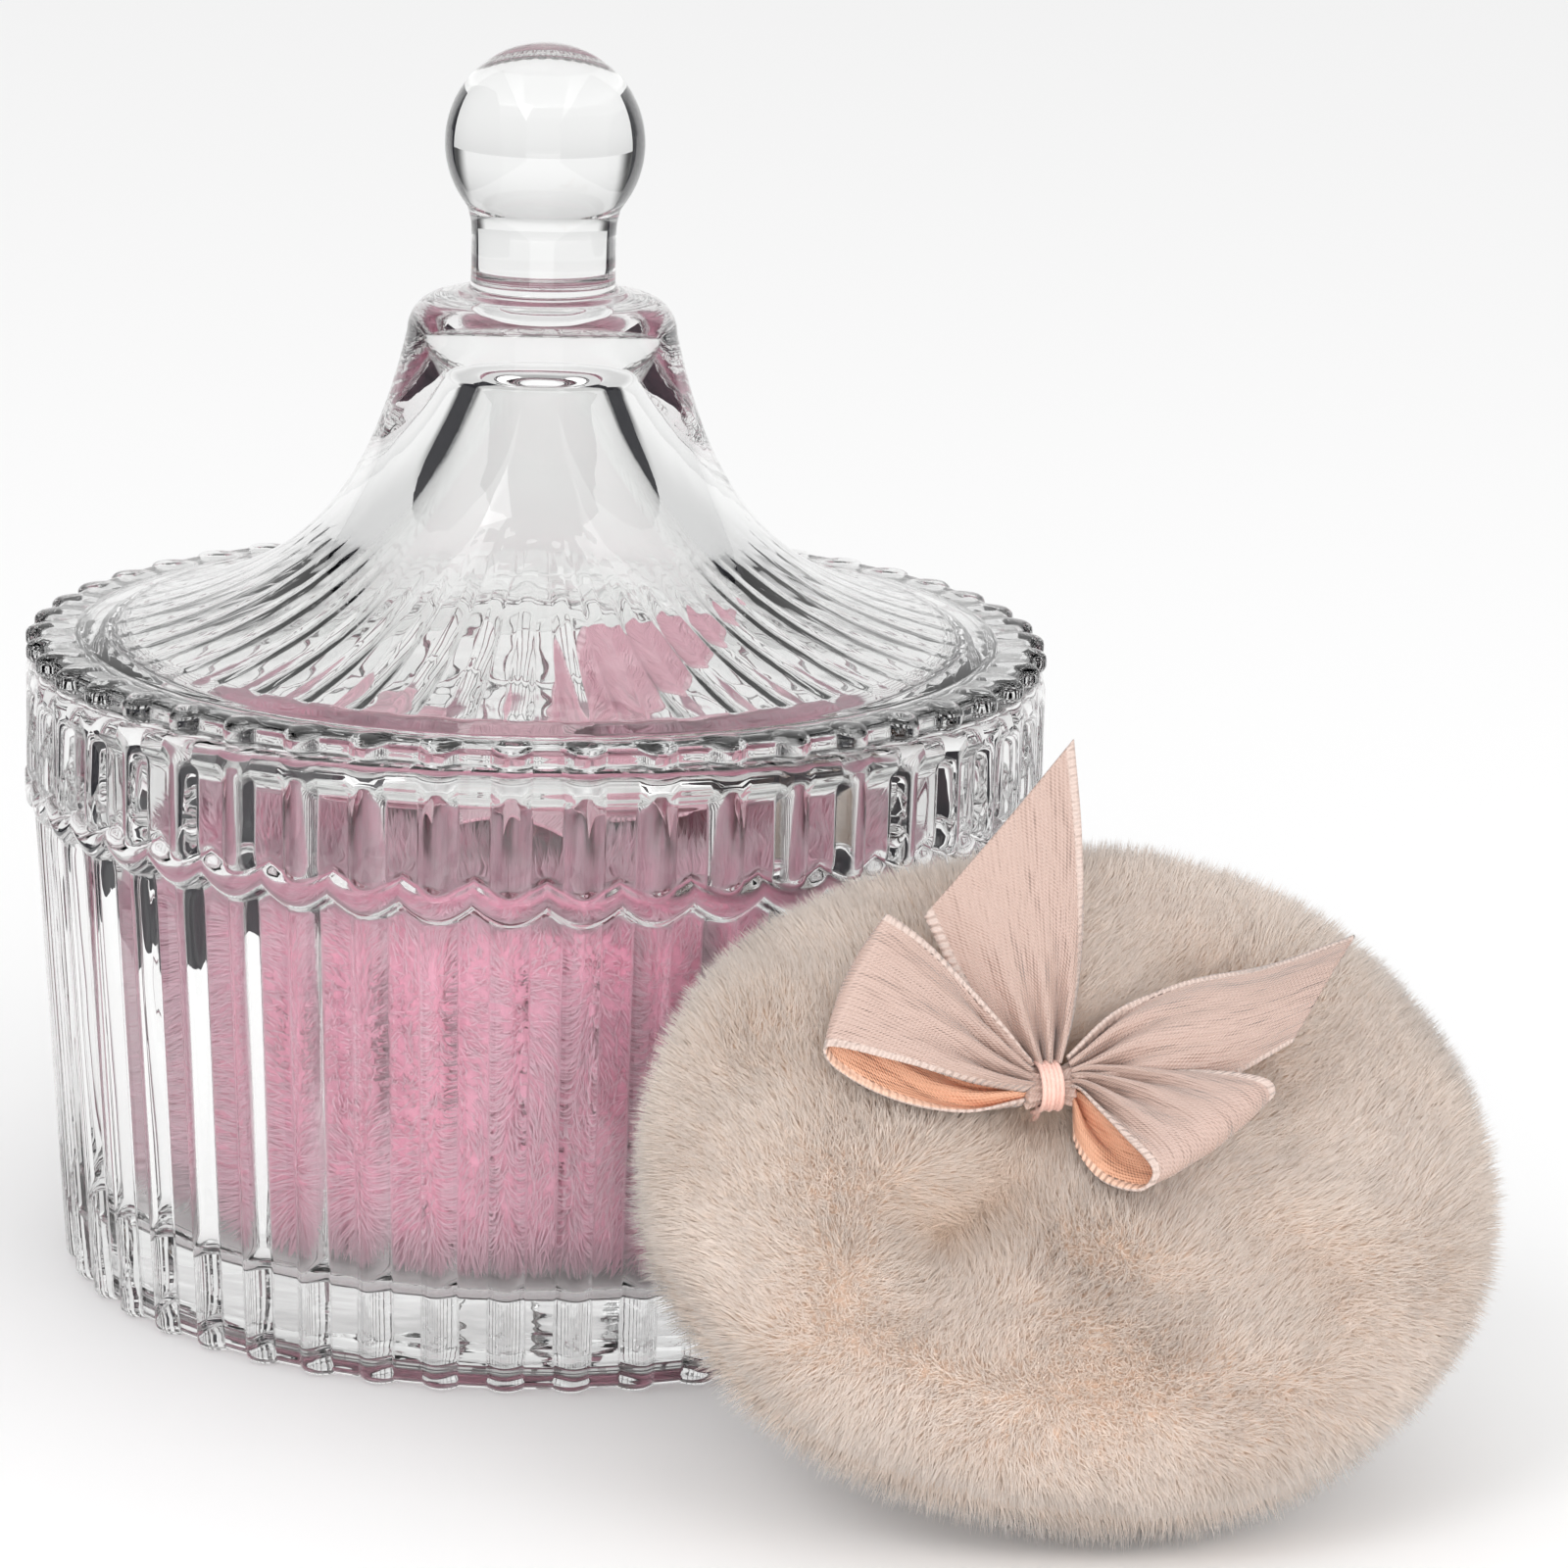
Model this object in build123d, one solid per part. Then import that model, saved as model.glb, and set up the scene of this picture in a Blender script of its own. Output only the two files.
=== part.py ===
"""A pressed-glass powder jar with a tent-shaped glass lid, and two plush powder puffs tied with satin bows.

Millimetres, +Z up. The origin is the centre of the jar's foot, on the surface that it stands on, and -Y is
the front. One puff lies inside the jar. The other leans on the jar's front right, with its edge on the
same surface. Each puff and its bow is built in the puff's own frame: the seam is in the XY plane, +Z goes
out of the face with the bow, and +Y is the upper side of the outside puff.
"""
from build123d import *
import math
import os

# ---------------------------------------------------------------- glass jar
rib_count = 46                # ribs round the jar, the collar and the lid's edge
rib_share = 0.56              # part of each pitch that is rib, the rest is flat groove
jar_height = 60.6             # floor to the rim that the lid sits on
collar_radius = 50.0          # over the collar's ribs
collar_rib_depth = 1.2
collar_height = 14.3          # rim down to the tips of the scallops
scallop_depth = 1.6           # tips of the scallops up to the cusps between them
collar_step = 0.5             # body in from the collar, over the ribs
body_taper = 3.2              # foot in from the top of the body, over the ribs
body_rib_depth = 1.3
rim_wall = 5.4                # collar's ribs to the mouth
foot_wall = 3.9               # foot's ribs to the well
well_corner_radius = 3.0
floor_thickness = 8.0
foot_ring_width = 9.3
foot_recess_depth = 0.8

mouth_radius = collar_radius - rim_wall
shoulder_radius = collar_radius - collar_step
foot_radius = shoulder_radius - body_taper
well_radius = foot_radius - foot_wall

# ---------------------------------------------------------------- glass lid, heights above its seat
seat_gap = 0.1                # lid's flange above the jar's rim
flange_thickness = 2.2
flange_ledge = 5.4            # edge of the flange in to the tent's foot
spigot_clearance = 0.5        # round the spigot, inside the mouth
spigot_depth = 3.5
spigot_wall = 2.6
tent_foot_rise = 0.2          # tent's foot above the flange
tent_axis_radius = 4.8        # the outside flares about this radius
lid_shoulder_height = 35.5    # round shoulder, under the neck
lid_shoulder_radius = 13.1
lid_shoulder_round = 3.6
neck_radius = 7.0
neck_round = 1.2
ball_radius = 9.65
ball_height = 14.7            # ball's centre above the shoulder
crown_glass = 7.0             # hollow's roof up to the shoulder
hollow_top_radius = 6.3
hollow_top_rise = 2.2         # dome over the hollow
hollow_foot_rise = 0.4
hollow_axis_radius = -7.0     # the hollow flares about this radius

# ---------------------------------------------------------------- puffs
# crown and belly are the heights above and below the seam, reached at crown_radius.
# dimple is how deep the tack thread pulls both faces in.
outside_puff = {"radius": 36.0, "crown": 12.0, "belly": 10.0, "crown_radius": 21.0, "dimple": 3.5}
inside_puff = {"crown": 20.5, "belly": 16.5, "crown_radius": 26.0, "dimple": 4.0}
inside_clearance = 2.4        # inside puff's edge to the foot of the well's wall
cover_thickness = 4.0         # plush, backing and pile together
tack_radius = 0.5
tack_foot_radius = 2.2
tack_foot_thickness = 0.6
outside_tack = (-3.9, 3.8)    # the bow is sewn on a little off the middle
inside_tack = (0.0, 0.0)
puff_lean = 42.0              # degrees that the outside puff leans back
puff_turn = 15.0              # degrees that its face looks to the right of the front
puff_bearing = 39.5           # degrees from the jar's front round to where it stands
lean_gap = 0.35               # outside puff clear of the jar
inside_gap = 0.3              # inside puff above the jar's floor
inside_puff["radius"] = well_radius - inside_clearance

# ---------------------------------------------------------------- bows
ribbon_thickness = 0.8        # satin with its selvage and slack
knot_radius = 1.8             # gathered waist of the ribbon
knot_length = 4.6
binding_thickness = 0.5
binding_length = 2.4
loop_thickness = 3.0
loop_root = 0.2               # part of the ribbon's width that reaches the waist
waist_slack = 0.8             # end of the waist to where the loops and tails open out
knot_gap = 0.9                # binding above the plush

# Corners of each bow, measured from its knot: the fold of each loop, and the slanted end of each tail.
outside_bow = {
    "left_loop": ((-20.6, 2.0, 3.9), (-14.2, 12.3, 9.5)),
    "right_loop": ((5.5, -12.2, 3.9), (17.5, -6.1, 7.5)),
    "upper_tail": ((3.2, 24.5, 18.0), (-10.2, 13.8, 7.0)),
    "side_tail": ((27.5, 7.5, 10.5), (20.8, -0.7, 6.5)),
}
inside_bow = {
    "left_loop": ((-20.0, -7.0, 4.5), (-16.0, 7.0, 9.0)),
    "right_loop": ((16.0, -13.0, 4.5), (22.0, 1.5, 7.5)),
    "upper_tail": ((19.0, 3.0, 21.5), (4.0, 4.5, 18.5)),
    "side_tail": ((-6.0, -29.0, 6.0), (4.0, -23.0, 3.2)),
}


def polar(radius, angle, z=0.0):
    """A point at a radius and an angle in radians, measured from the front (-Y) round to +X."""
    return (radius * math.sin(angle), -radius * math.cos(angle), z)


def fluted_face(crest_radius, depth, z):
    """A disc whose edge is rib_count round ribs with flat grooves between them."""
    pitch = 2 * math.pi / rib_count
    half = rib_share * pitch / 2
    root = crest_radius - depth
    edges = []
    for k in range(rib_count):
        a = k * pitch
        rib = [polar(root, a - half, z), polar(crest_radius, a, z), polar(root, a + half, z)]
        edges.append(ThreePointArc(*rib))
        edges.append(Line(rib[-1], polar(root, a + pitch - half, z)))
    return Face(Wire(edges))


def turned(edges):
    """The solid of revolution of a closed outline in the XZ plane."""
    return revolve(Face(Wire(edges)), Axis.Z)


def standing(radius, height, z=0.0):
    """An upright cylinder whose lower end is at z."""
    return Pos(0, 0, z) * Cylinder(radius, height, align=(Align.CENTER, Align.CENTER, Align.MIN))


def save(part, node):
    """Writes one node's STEP file."""
    export_step(part, f"parts/{node}.step")


# ================================================================ jar
def scalloped_collar():
    """The collar, whose ribs end below in round tips with cusps between them."""
    bottom = jar_height - collar_height
    half_pitch = math.pi * collar_radius / rib_count
    tip_radius = (half_pitch**2 + scallop_depth**2) / (2 * scallop_depth)
    band = extrude(fluted_face(collar_radius, collar_rib_depth, bottom), collar_height)
    core_radius = shoulder_radius - body_rib_depth
    cutter_length = 4 * collar_rib_depth
    tips = []
    for k in range(rib_count):
        spoke = Rot(0, 0, 360 * k / rib_count - 90) * Pos(collar_radius, 0, bottom + tip_radius)
        tips.append(spoke * Rot(0, 90, 0) * Cylinder(tip_radius, cutter_length))
    outside = standing(collar_radius + collar_rib_depth, scallop_depth, bottom)
    outside -= standing(core_radius, scallop_depth, bottom)
    return band - (outside - tips)


def jar_body():
    """The ribbed glass jar: tapered body, scalloped collar, thick floor and recessed foot."""
    body_top = jar_height - collar_height + 2 * scallop_depth
    sections = [
        fluted_face(foot_radius, body_rib_depth, 0.0),
        fluted_face(shoulder_radius, body_rib_depth, body_top),
    ]
    glass = loft(sections, ruled=True) + scalloped_collar()
    corner = well_corner_radius
    above = jar_height + 1.0
    flat_end = (well_radius - corner, 0, floor_thickness)
    wall_foot = (well_radius, 0, floor_thickness + corner)
    rim = (mouth_radius, 0, jar_height)
    well = turned(
        [
            Line((0, 0, floor_thickness), flat_end),
            TangentArc(flat_end, wall_foot, tangent=(1, 0, 0)),
            Line(wall_foot, rim),
            Line(rim, (mouth_radius, 0, above)),
            Line((mouth_radius, 0, above), (0, 0, above)),
            Line((0, 0, above), (0, 0, floor_thickness)),
        ]
    )
    return glass - well - standing(foot_radius - foot_ring_width, foot_recess_depth)


# ================================================================ lid
def flare(axis_radius, top, foot, count=8):
    """Points from top to foot on a curve whose drop falls off as one over its distance from axis_radius."""
    top_pull = 1 / (top[0] - axis_radius)
    foot_pull = 1 / (foot[0] - axis_radius)
    swell = (top[1] - foot[1]) / (top_pull - foot_pull)
    points = []
    for k in range(count):
        r = top[0] * (foot[0] / top[0]) ** (k / (count - 1))
        points.append((r, 0, foot[1] + swell * (1 / (r - axis_radius) - foot_pull)))
    return points


def knob_outline():
    """The knob's side, from the top of its ball down its neck to the lid's round shoulder."""
    centre = lid_shoulder_height + ball_height
    slant = ball_radius * math.sqrt(0.5)
    drop = math.sqrt(ball_radius**2 - neck_radius**2)
    half_way = math.asin(drop / ball_radius) / 2
    side = (ball_radius, 0, centre)
    lower = (ball_radius * math.cos(half_way), 0, centre - ball_radius * math.sin(half_way))
    neck_top = (neck_radius, 0, centre - drop)
    neck_foot = (neck_radius, 0, lid_shoulder_height + neck_round)
    round_end = (neck_radius + neck_round, 0, lid_shoulder_height)
    return [
        ThreePointArc((0, 0, centre + ball_radius), (slant, 0, centre + slant), side),
        ThreePointArc(side, lower, neck_top),
        Line(neck_top, neck_foot),
        TangentArc(neck_foot, round_end, tangent=(0, 0, -1)),
        Line(round_end, (lid_shoulder_radius - lid_shoulder_round, 0, lid_shoulder_height)),
    ]


def lid():
    """The glass lid on its seat: ball knob, neck, shoulder, flared tent, ribbed flange and spigot."""
    tent_foot_radius = collar_radius - flange_ledge
    flange_core = collar_radius - 2 * collar_rib_depth
    spigot_radius = mouth_radius - spigot_clearance
    spigot_inner = spigot_radius - spigot_wall
    shoulder_start = (lid_shoulder_radius - lid_shoulder_round, 0, lid_shoulder_height)
    shoulder_end = (lid_shoulder_radius, 0, lid_shoulder_height - lid_shoulder_round)
    roof = (0, 0, lid_shoulder_height - crown_glass)
    tent = flare(
        tent_axis_radius,
        (lid_shoulder_radius, shoulder_end[2]),
        (tent_foot_radius, flange_thickness + tent_foot_rise),
    )
    hollow = flare(
        hollow_axis_radius,
        (hollow_top_radius, roof[2] - hollow_top_rise),
        (spigot_inner, hollow_foot_rise),
    )
    outside = knob_outline() + [
        TangentArc(shoulder_start, shoulder_end, tangent=(1, 0, 0)),
        Spline(tent),
        Line(tent[-1], (tent_foot_radius, 0, flange_thickness)),
        Line((tent_foot_radius, 0, flange_thickness), (flange_core, 0, flange_thickness)),
        Line((flange_core, 0, flange_thickness), (flange_core, 0, 0)),
    ]
    underside = [
        Line((flange_core, 0, 0), (spigot_radius, 0, 0)),
        Line((spigot_radius, 0, 0), (spigot_radius, 0, -spigot_depth)),
        Line((spigot_radius, 0, -spigot_depth), (spigot_inner, 0, -spigot_depth)),
        Line((spigot_inner, 0, -spigot_depth), hollow[-1]),
        Spline(hollow),
        TangentArc(roof, hollow[0], tangent=(1, 0, 0)),
        Line(roof, (0, 0, lid_shoulder_height + ball_height + ball_radius)),
    ]
    flange = extrude(fluted_face(collar_radius, collar_rib_depth, 0), flange_thickness)
    flange -= standing(flange_core - collar_rib_depth, flange_thickness)
    return Pos(0, 0, jar_height + seat_gap) * (turned(outside + underside) + flange)


# ================================================================ puffs
def half_outline(puff, side, inset):
    """Points of a puff's face (side 1) or back (side -1), a distance inside its outer skin."""
    thick = (puff["crown"] if side > 0 else puff["belly"]) - inset
    middle = thick - puff["dimple"]
    crown_radius = puff["crown_radius"]
    edge = puff["radius"] - inset
    half_dimple = (crown_radius / 2, 0, side * (middle + thick) / 2)
    shoulder = (crown_radius + (edge - crown_radius) * 0.6, 0, side * thick * 0.84)
    return [(0, 0, side * middle), half_dimple, (crown_radius, 0, side * thick), shoulder, (edge, 0, 0)]


def skin_curve(points, side):
    """A smooth curve through a half outline, level on the axis and square to the seam at the edge."""
    return Spline(points, tangents=[(1, 0, 0), (0, 0, -side)])


def cover(puff, side):
    """One plush cover, of the face (side 1) or the back (side -1)."""
    skin = half_outline(puff, side, 0.0)
    lining = half_outline(puff, side, cover_thickness)
    outline = [skin_curve(skin, side), Line(skin[-1], lining[-1]), skin_curve(lining, side)]
    return turned(outline + [Line(lining[0], skin[0])])


def filling(puff):
    """The fibre filling between the two covers."""
    face = half_outline(puff, 1, cover_thickness)
    back = half_outline(puff, -1, cover_thickness)
    return turned([skin_curve(face, 1), skin_curve(back, -1), Line(back[0], face[0])])


def knot_height(puff):
    """Height of the bow's knot above the seam plane, bound and resting just clear of the dimple."""
    return puff["crown"] - puff["dimple"] + knot_gap + binding_thickness + knot_radius


def tack_thread(puff):
    """The thread from the bow's binding through the puff to a stitched foot on its back."""
    top = knot_height(puff) - knot_radius - binding_thickness
    back = puff["dimple"] - puff["belly"]
    shaft = standing(tack_radius, top - back, back)
    return shaft + standing(tack_foot_radius, tack_foot_thickness, back - tack_foot_thickness)


def plate(points, thickness):
    """A flat piece with these corners, its thickness centred on their plane."""
    flat = Face(Wire.make_polygon([Vector(*p) for p in points], close=True))
    return extrude(flat, thickness / 2, both=True)


def bow_loop(low, high):
    """A loop as a wedge, from the gathered waist out to the fold of the ribbon between two corners."""
    a = Vector(*low)
    b = Vector(*high)
    out = ((a + b) / 2).normalized()
    across = (b - a).normalized()
    up = out.cross(across).normalized() * (loop_thickness / 2)
    root = out * (knot_length / 2 + waist_slack)
    wide = (b - a) * (loop_root / 2)
    thin = up * (ribbon_thickness / loop_thickness)
    near = [root - wide - thin, root + wide - thin, root + wide + thin, root - wide + thin]
    far = [a - up, b - up, b + up, a + up]
    faces = [Face(Wire.make_polygon(corners, close=True)) for corners in (near, far)]
    return loft(faces, ruled=True)


def bow_tail(tip, heel):
    """A tail as a plate, from the gathered waist to the slanted cut between its heel and its tip."""
    t = Vector(*tip)
    h = Vector(*heel)
    start = knot_length / 2 + waist_slack
    return plate([h.normalized() * start, t.normalized() * start, t, h], ribbon_thickness)


def waist():
    """The ribbon's gathered waist, which runs from loop to loop."""
    return Rot(0, 90, 0) * Cylinder(knot_radius, knot_length)


def binding():
    """The thread wound round the waist."""
    tube = Cylinder(knot_radius + binding_thickness, binding_length) - Cylinder(knot_radius, binding_length)
    return Rot(0, 90, 0) * tube


def puff_pieces(name, puff, bow, tack):
    """Every piece of one puff, by node name, in the puff's own frame."""
    shaft = Pos(*tack, 0)
    thread = shaft * tack_thread(puff)
    knot = shaft * Pos(0, 0, knot_height(puff))
    pieces = {
        f"{name}_top_cover": cover(puff, 1) - thread,
        f"{name}_bottom_cover": cover(puff, -1) - thread,
        f"{name}_filling": filling(puff) - thread,
        f"{name}_tack_thread": thread,
        f"{name}_bow_waist": knot * waist(),
        f"{name}_bow_binding": knot * binding(),
    }
    for loop in ("left_loop", "right_loop"):
        pieces[f"{name}_bow_{loop}"] = knot * bow_loop(*bow[loop])
    for tail in ("upper_tail", "side_tail"):
        pieces[f"{name}_bow_{tail}"] = knot * bow_tail(*bow[tail])
    return pieces


def leaning_place():
    """Where the outside puff's frame goes: its edge on the ground, its skin lean_gap from the jar."""
    lean = Rot(0, 0, puff_turn) * Rot(puff_lean, 0, 0)
    skin = lean * (cover(outside_puff, 1) + cover(outside_puff, -1))
    lift = -skin.bounding_box().min.Z
    away = Vector(*polar(1.0, math.radians(puff_bearing)))
    taper = Cone(foot_radius, shoulder_radius, jar_height, align=(Align.CENTER, Align.CENTER, Align.MIN))
    jar = taper + standing(collar_radius, collar_height + flange_thickness, jar_height - collar_height)
    reach = collar_radius + outside_puff["radius"] + outside_puff["crown"]
    for _ in range(12):
        placed = Pos(*(away * reach + Vector(0, 0, lift))) * skin
        reach -= placed.distance_to(jar) - lean_gap
    return Pos(*(away * reach + Vector(0, 0, lift))) * lean


def main():
    os.makedirs("parts", exist_ok=True)
    save(jar_body(), "jar_body")
    save(lid(), "lid")
    lying = Pos(0, 0, floor_thickness + inside_gap + inside_puff["belly"])
    for node, piece in puff_pieces("pink_puff", inside_puff, inside_bow, inside_tack).items():
        save(lying * piece, node)
    leaning = leaning_place()
    for node, piece in puff_pieces("cream_puff", outside_puff, outside_bow, outside_tack).items():
        save(leaning * piece, node)


main()
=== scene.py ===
# Pressed-glass powder jar with a tent lid, a pink puff inside it and a cream puff leaning on it.
# Metres in Blender; every shape below is worked out in millimetres. +Z is up and -Y is the front.
import math

import bpy
import numpy as np
from mathutils import Matrix, Vector


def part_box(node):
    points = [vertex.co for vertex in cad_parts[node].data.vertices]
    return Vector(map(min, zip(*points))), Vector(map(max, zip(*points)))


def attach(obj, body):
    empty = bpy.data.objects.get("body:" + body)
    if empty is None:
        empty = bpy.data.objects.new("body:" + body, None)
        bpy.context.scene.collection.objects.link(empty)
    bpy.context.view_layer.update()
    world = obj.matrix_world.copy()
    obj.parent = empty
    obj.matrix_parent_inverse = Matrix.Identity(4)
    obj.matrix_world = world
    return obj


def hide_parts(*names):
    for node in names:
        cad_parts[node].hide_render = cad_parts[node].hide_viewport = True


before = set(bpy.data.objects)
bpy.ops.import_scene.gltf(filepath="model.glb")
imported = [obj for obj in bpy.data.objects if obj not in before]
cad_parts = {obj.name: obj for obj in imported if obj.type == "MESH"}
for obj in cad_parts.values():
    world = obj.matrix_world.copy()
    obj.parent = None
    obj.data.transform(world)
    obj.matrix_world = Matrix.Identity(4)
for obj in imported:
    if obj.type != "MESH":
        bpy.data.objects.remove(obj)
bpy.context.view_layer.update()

mm = 0.001
scene = bpy.context.scene


def smooth(x, low, high):
    # 0 below low, 1 above high, and an S curve between them
    t = np.clip((x - low) / (high - low), 0, 1)
    return t * t * (3 - 2 * t)


def unit(v):
    return v / np.maximum(np.linalg.norm(v, axis=-1, keepdims=True), 1e-12)


def gridQuads(rows, columns, wrap, first=0):
    # the four corners of each cell, turned so that rows going up and columns going right face the viewer
    i = np.arange(rows - 1)[:, None]
    j = np.arange(columns if wrap else columns - 1)[None, :]
    k = (j + 1) % columns
    corners = [i * columns + j, i * columns + k, (i + 1) * columns + k, (i + 1) * columns + j]
    return first + np.stack(np.broadcast_arrays(*corners), -1).reshape(-1, 4)


def makeMesh(name, points, faces, uv=None, normals=None, values=None):
    # points in mm; faces is a list of index arrays, one array for each number of corners
    mesh = bpy.data.meshes.new(name)
    corners = np.concatenate([f.ravel() for f in faces]).astype(np.int32)
    sizes = np.concatenate([np.full(len(f), f.shape[1]) for f in faces])
    starts = np.concatenate([[0], np.cumsum(sizes)[:-1]]).astype(np.int32)
    mesh.vertices.add(len(points))
    mesh.vertices.foreach_set("co", (points * mm).astype(np.float32).ravel())
    mesh.loops.add(len(corners))
    mesh.loops.foreach_set("vertex_index", corners)
    mesh.polygons.add(len(sizes))
    mesh.polygons.foreach_set("loop_start", starts)
    mesh.update(calc_edges=True)
    mesh.polygons.foreach_set("use_smooth", np.ones(len(sizes), bool))
    if uv is not None:
        layer = mesh.uv_layers.new(name="clothUv")
        layer.data.foreach_set("uv", uv[corners].astype(np.float32).ravel())
    for key, value in (values or {}).items():
        layer = mesh.attributes.new(key, "FLOAT", "POINT")
        layer.data.foreach_set("value", value.astype(np.float32))
    if normals is not None:
        mesh.normals_split_custom_set_from_vertices(normals.astype(np.float32))
    mesh.update()
    return mesh


def closedGrid(points, poles):
    # a wrapped grid whose first and last rows close on a single point each
    rows, columns, _ = points.shape
    everything = np.concatenate([points.reshape(-1, 3), np.array(poles, float)])
    start = rows * columns
    j = np.arange(columns)
    k = (j + 1) % columns
    last = (rows - 1) * columns
    below = np.stack([np.full(columns, start), k, j], -1)
    above = np.stack([last + j, last + k, np.full(columns, start + 1)], -1)
    return everything, [gridQuads(rows, columns, True), np.concatenate([below, above])]


def addPiece(name, mesh, materials, body, stands=()):
    piece = bpy.data.objects.new(name, mesh)
    scene.collection.objects.link(piece)
    for material in materials if isinstance(materials, (list, tuple)) else [materials]:
        mesh.materials.append(material)
    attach(piece, body)
    if stands:
        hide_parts(*stands)
    return piece


def swell(points, size, seed, octaves=2):
    # soft lumps: sine waves in random directions, each octave half as long and half as high
    source = np.random.default_rng(seed)
    total = np.zeros(points.shape[:-1])
    for octave in range(octaves):
        for _ in range(5):
            wave = unit(source.normal(size=3)) * 2 * math.pi / (size * 0.5 ** octave * source.uniform(0.8, 1.3))
            total += 0.5 ** octave * np.sin(points @ wave + source.uniform(0, 2 * math.pi))
    return total / 3.2


def smoothCurve(points, count):
    # a curve through the points: each span is a cubic whose slopes follow the neighbouring points
    p = np.array(points, float)
    gaps = np.sqrt(np.linalg.norm(np.diff(p, axis=0), axis=1))
    t = np.concatenate([[0], np.cumsum(gaps)])
    slope = np.gradient(p, t, axis=0)
    at = np.linspace(0, t[-1], count)
    k = np.clip(np.searchsorted(t, at, side="right") - 1, 0, len(t) - 2)
    h = (t[k + 1] - t[k])[:, None]
    s = ((at - t[k])[:, None]) / h
    a, b = 2 * s**3 - 3 * s**2 + 1, s**3 - 2 * s**2 + s
    return a * p[k] + b * h * slope[k] + (1 - a) * p[k + 1] + (s**3 - s**2) * h * slope[k + 1]


def alongLength(curve):
    return np.concatenate([[0], np.cumsum(np.linalg.norm(np.diff(curve, axis=0), axis=1))])


def plug(tree, value, socket):
    if isinstance(value, bpy.types.NodeSocket):
        tree.links.new(value, socket)
    else:
        socket.default_value = value


def calc(tree, operation, *values):
    node = tree.nodes.new("ShaderNodeMath")
    node.operation = operation
    for value, socket in zip(values, node.inputs):
        plug(tree, value, socket)
    return node.outputs[0]


def blendColour(tree, factor, first, second):
    node = tree.nodes.new("ShaderNodeMix")
    node.data_type = "RGBA"
    plug(tree, factor, node.inputs[0])
    plug(tree, first, node.inputs[6])
    plug(tree, second, node.inputs[7])
    return node.outputs[2]


def ramp(tree, value, low, high):
    node = tree.nodes.new("ShaderNodeMapRange")
    node.interpolation_type = "SMOOTHSTEP"
    plug(tree, value, node.inputs["Value"])
    node.inputs["From Min"].default_value = low
    node.inputs["From Max"].default_value = high
    return node.outputs[0]


def noise(tree, vector, scale, detail=2.0):
    node = tree.nodes.new("ShaderNodeTexNoise")
    plug(tree, vector, node.inputs["Vector"])
    plug(tree, scale, node.inputs["Scale"])
    node.inputs["Detail"].default_value = detail
    return node.outputs["Fac"]


def placed(tree, vector, scale=(1, 1, 1), turn=(0, 0, 0)):
    node = tree.nodes.new("ShaderNodeMapping")
    plug(tree, vector, node.inputs["Vector"])
    node.inputs["Scale"].default_value = scale
    node.inputs["Rotation"].default_value = turn
    return node.outputs[0]


def newGroup(name, inputs, outputs):
    group = bpy.data.node_groups.new(name, "ShaderNodeTree")
    for label, kind, value in inputs:
        socket = group.interface.new_socket(label, in_out="INPUT", socket_type=kind)
        if value is not None:
            socket.default_value = value
    for label, kind in outputs:
        group.interface.new_socket(label, in_out="OUTPUT", socket_type=kind)
    return group, group.nodes.new("NodeGroupInput").outputs, group.nodes.new("NodeGroupOutput").inputs


def useGroup(tree, group, **values):
    node = tree.nodes.new("ShaderNodeGroup")
    node.node_tree = group
    for label, value in values.items():
        plug(tree, value, node.inputs[label])
    return node.outputs


def bump(tree, height, distance, strength=1.0, under=None):
    node = tree.nodes.new("ShaderNodeBump")
    plug(tree, height, node.inputs["Height"])
    if under is not None:
        plug(tree, under, node.inputs["Normal"])
    node.inputs["Distance"].default_value = distance
    node.inputs["Strength"].default_value = strength
    return node.outputs[0]


def newMaterial(name, **plain):
    # a material with one Principled shader; plain values go on its own sockets
    material = bpy.data.materials.new(name)
    material.use_nodes = True
    tree = material.node_tree
    shader = tree.nodes["Principled BSDF"]
    for label, value in plain.items():
        shader.inputs[label.replace("_", " ")].default_value = value
    return material, tree, shader.inputs


def fibreGroup():
    # colour of brushed fibre: a darker root colour, which paints the shade deep in the pile, turning to a tip
    # colour, with patches, tufts and fine streaks
    group, into, out = newGroup(
        "fibreTone",
        [
            ("Vector", "NodeSocketVector", None), ("Root", "NodeSocketColor", None),
            ("Tip", "NodeSocketColor", None), ("Warm", "NodeSocketColor", None),
            ("Reach", "NodeSocketFloat", 0.5), ("Tuft", "NodeSocketFloat", 0.5),
            ("Patch", "NodeSocketFloat", 90.0), ("Streak", "NodeSocketFloat", 1500.0),
        ],
        [("Color", "NodeSocketColor"), ("Height", "NodeSocketFloat")],
    )
    patch = ramp(group, noise(group, into["Vector"], into["Patch"], 3.0), 0.42, 0.68)
    streak = noise(group, into["Vector"], into["Streak"], 1.0)
    # painted shade deep in the pile: the darker Root colour where Reach is low, the Tip colour where it is high
    base = blendColour(group, into["Reach"], into["Root"], into["Tip"])
    warmth = calc(group, "MULTIPLY", patch, 0.35)
    toned = blendColour(group, warmth, base, into["Warm"])
    spread = calc(group, "MULTIPLY", calc(group, "SUBTRACT", into["Tuft"], 0.5), 0.1)
    light = calc(group, "ADD", calc(group, "MULTIPLY", calc(group, "SUBTRACT", streak, 0.5), 0.25), spread)
    shade = group.nodes.new("ShaderNodeHueSaturation")
    plug(group, toned, shade.inputs["Color"])
    plug(group, calc(group, "ADD", light, 1.0), shade.inputs["Value"])
    plug(group, shade.outputs[0], out["Color"])
    plug(group, streak, out["Height"])
    return group


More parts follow.
